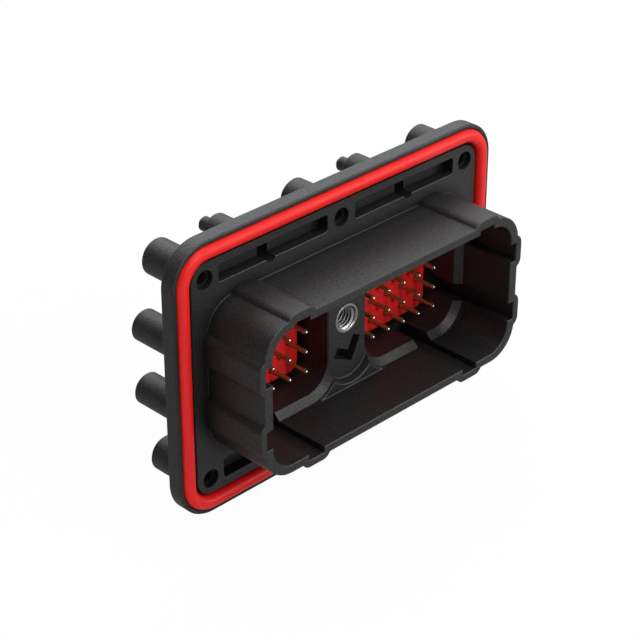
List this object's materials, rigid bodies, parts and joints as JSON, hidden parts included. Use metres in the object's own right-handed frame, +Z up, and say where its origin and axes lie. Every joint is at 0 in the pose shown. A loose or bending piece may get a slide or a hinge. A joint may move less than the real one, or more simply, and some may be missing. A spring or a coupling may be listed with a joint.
{
  "type": "pcb receptacle connector",
  "caption": "Sealed board header with a keyed twin-bay shroud, flange seal, jackscrew insert, screw bosses and straight contacts.",
  "frame": {"origin": "centre of the six flange screw holes, on the front sealing face of the flange", "axes": "+X along the flange to the right seen from the plug side, +Y back towards the circuit board, +Z up"},
  "size_m": [0.0864, 0.0345, 0.0588],
  "materials": {
    "housing_plastic": "fine moulded grain",
    "seal_rubber": "smooth silicone",
    "block_plastic": "smooth moulded",
    "contact_metal": "bright plated",
    "insert_steel": "turned and plated"
  },
  "bodies": {
    "root": {"housing": "housing_plastic", "perimeter_seal": "seal_rubber", "jackscrew_insert": "insert_steel", "left_pin_block": "block_plastic", "right_pin_block": "block_plastic", "left_pin_row_1_column_1": "contact_metal", "left_pin_row_1_column_2": "contact_metal", "left_pin_row_1_column_3": "contact_metal", "left_pin_row_1_column_4": "contact_metal", "left_pin_row_1_column_5": "contact_metal", "left_pin_row_2_column_1": "contact_metal", "left_pin_row_2_column_2": "contact_metal", "left_pin_row_2_column_3": "contact_metal", "left_pin_row_2_column_4": "contact_metal", "left_pin_row_2_column_5": "contact_metal", "left_pin_row_3_column_1": "contact_metal", "left_pin_row_3_column_2": "contact_metal", "left_pin_row_3_column_3": "contact_metal", "left_pin_row_3_column_4": "contact_metal", "left_pin_row_3_column_5": "contact_metal", "left_pin_row_4_column_1": "contact_metal", "left_pin_row_4_column_2": "contact_metal", "left_pin_row_4_column_3": "contact_metal", "left_pin_row_4_column_4": "contact_metal", "left_pin_row_4_column_5": "contact_metal", "left_pin_row_5_column_1": "contact_metal", "left_pin_row_5_column_2": "contact_metal", "left_pin_row_5_column_3": "contact_metal", "left_pin_row_5_column_4": "contact_metal", "left_pin_row_5_column_5": "contact_metal", "right_pin_row_1_column_1": "contact_metal", "right_pin_row_1_column_2": "contact_metal", "right_pin_row_1_column_3": "contact_metal", "right_pin_row_1_column_4": "contact_metal", "right_pin_row_1_column_5": "contact_metal", "right_pin_row_2_column_1": "contact_metal", "right_pin_row_2_column_2": "contact_metal", "right_pin_row_2_column_3": "contact_metal", "right_pin_row_2_column_4": "contact_metal", "right_pin_row_2_column_5": "contact_metal", "right_pin_row_3_column_1": "contact_metal", "right_pin_row_3_column_2": "contact_metal", "right_pin_row_3_column_3": "contact_metal", "right_pin_row_3_column_4": "contact_metal", "right_pin_row_3_column_5": "contact_metal", "right_pin_row_4_column_1": "contact_metal", "right_pin_row_4_column_2": "contact_metal", "right_pin_row_4_column_3": "contact_metal", "right_pin_row_4_column_4": "contact_metal", "right_pin_row_4_column_5": "contact_metal", "right_pin_row_5_column_1": "contact_metal", "right_pin_row_5_column_2": "contact_metal", "right_pin_row_5_column_3": "contact_metal", "right_pin_row_5_column_4": "contact_metal", "right_pin_row_5_column_5": "contact_metal"}
  },
  "joints": []
}
